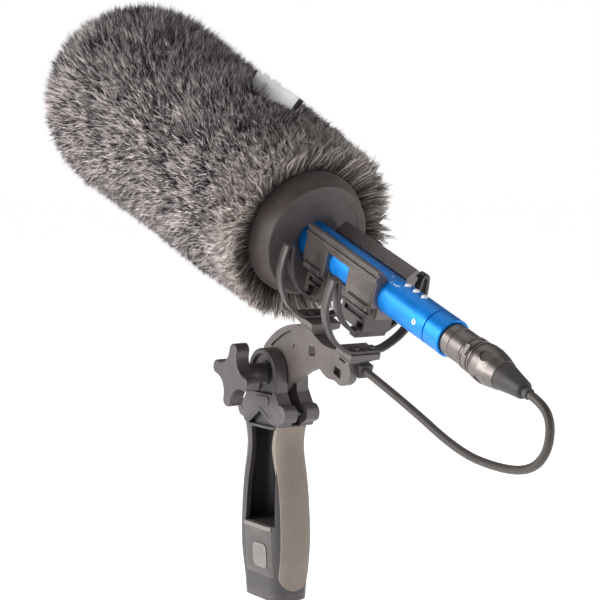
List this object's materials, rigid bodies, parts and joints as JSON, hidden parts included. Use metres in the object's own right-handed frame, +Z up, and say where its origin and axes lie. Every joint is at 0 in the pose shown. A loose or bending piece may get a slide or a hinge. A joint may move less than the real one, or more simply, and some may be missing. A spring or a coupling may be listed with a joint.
{
  "type": "furry windscreen microphone kit",
  "caption": "Furry foam-cored windscreen on a short shotgun microphone in a lyre suspension that tilts on a pistol grip with a star knob.",
  "frame": {"origin": "mouth of the boom thread, on the underside of the grip", "axes": "+Z up along the grip, +Y towards the nose of the windscreen, +X away from the star knob"},
  "size_m": [0.1309, 0.4706, 0.3662],
  "materials": {
    "grip_plastic": "satin",
    "clamp_plastic": "satin",
    "dark_steel": "satin",
    "grip_rubber": "matte",
    "light_trim": "satin",
    "cover_plastic": "matte",
    "soft_black": "matte",
    "brass_thread": "satin",
    "bar_plastic": "matte",
    "lyre_plastic": "satin",
    "cradle_plastic": "satin",
    "blue_anodised": "satin",
    "capsule_metal": "satin",
    "board_laminate": "satin",
    "white_mark": "satin",
    "led_lens": "gloss",
    "pin_metal": "satin",
    "plug_black": "gloss",
    "plug_boot_rubber": "satin",
    "cable_rubber": "satin",
    "collar_rubber": "matte",
    "foam": "matte",
    "fur": "matte",
    "tag_cloth": "matte",
    "binding_cloth": "matte"
  },
  "bodies": {
    "grip": {"handle_shell": "grip_plastic", "near_jaw": "clamp_plastic", "far_jaw": "clamp_plastic", "jaw_pins": "dark_steel", "rear_grip_pad": "grip_rubber", "front_grip_pad": "grip_rubber", "window_lip": "light_trim", "cover_plate": "cover_plastic", "badge": "light_trim", "floor_grommet": "soft_black", "base_cap": "clamp_plastic", "base_screws": "dark_steel", "thread_insert": "brass_thread", "pivot_bolt": "dark_steel", "pivot_nut": "dark_steel", "friction_washers": "soft_black", "knob_washer": "dark_steel"},
    "knob": {"star_knob": "clamp_plastic", "knob_insert": "brass_thread"},
    "head": {"mount_bar": "bar_plastic", "cable_clip": "soft_black", "lyre_pins": "lyre_plastic", "front_lyre": "lyre_plastic", "rear_lyre": "lyre_plastic"},
    "microphone": {"cradle_left": "cradle_plastic", "cradle_right": "cradle_plastic", "cradle_spine": "cradle_plastic", "front_saddle": "lyre_plastic", "rear_saddle": "lyre_plastic", "mic_tube": "blue_anodised", "mic_nose": "blue_anodised", "mic_body": "blue_anodised", "mic_rear_section": "blue_anodised", "mic_capsule": "capsule_metal", "circuit_board": "board_laminate", "button_switches": "soft_black", "led_bezel": "white_mark", "led_lens": "led_lens", "mic_pin_disc": "soft_black", "mic_pins": "pin_metal", "plug_shell": "plug_black", "plug_sockets": "soft_black", "plug_rings": "plug_black", "plug_backshell": "plug_black", "plug_boot": "plug_boot_rubber", "cable_chuck": "soft_black", "chuck_collar": "soft_black", "cable_tail": "cable_rubber", "cable": "cable_rubber", "cable_sleeve": "soft_black"},
    "button_1": {"button_1": "white_mark"},
    "button_2": {"button_2": "white_mark"},
    "button_3": {"button_3": "white_mark"},
    "latch": {"plug_latch": "plug_black"},
    "windscreen": {"end_collar": "collar_rubber", "foam_core": "foam", "fur_cover": "fur", "fabric_tag": "tag_cloth", "tag_bindings": "binding_cloth"}
  },
  "joints": [
    {"name": "head_tilt", "type": "hinge", "parent": "grip", "child": "head", "pos_m": [0, -0.003, 0.137], "axis": [1, 0, 0], "range_deg": [-50, 40]},
    {"name": "knob_turn", "type": "hinge", "parent": "grip", "child": "knob", "pos_m": [0, -0.003, 0.137], "axis": [1, 0, 0], "continuous": true},
    {"name": "suspension_slide", "type": "slide", "parent": "head", "child": "microphone", "axis": [0, 0.9361, 0.3518], "range_m": [-0.006, 0.006], "stiffness_N_per_m": 2500, "springref_m": 0.0015, "deforming": ["front_lyre", "rear_lyre"]},
    {"name": "windscreen_slide", "type": "slide", "parent": "microphone", "child": "windscreen", "axis": [0, 0.9361, 0.3518], "range_m": [0, 0.125]},
    {"name": "press_button_1", "type": "slide", "parent": "microphone", "child": "button_1", "axis": [0, 0.3518, -0.9361], "range_m": [0, 0.0005], "stiffness_N_per_m": 900, "springref_m": -0.0008},
    {"name": "press_button_2", "type": "slide", "parent": "microphone", "child": "button_2", "axis": [0, 0.3518, -0.9361], "range_m": [0, 0.0005], "stiffness_N_per_m": 900, "springref_m": -0.0008},
    {"name": "press_button_3", "type": "slide", "parent": "microphone", "child": "button_3", "axis": [0, 0.3518, -0.9361], "range_m": [0, 0.0005], "stiffness_N_per_m": 900, "springref_m": -0.0008},
    {"name": "press_latch", "type": "slide", "parent": "microphone", "child": "latch", "axis": [0.8829, 0.1652, -0.4395], "range_m": [0, 0.0006], "stiffness_N_per_m": 1500, "springref_m": -0.0008}
  ]
}
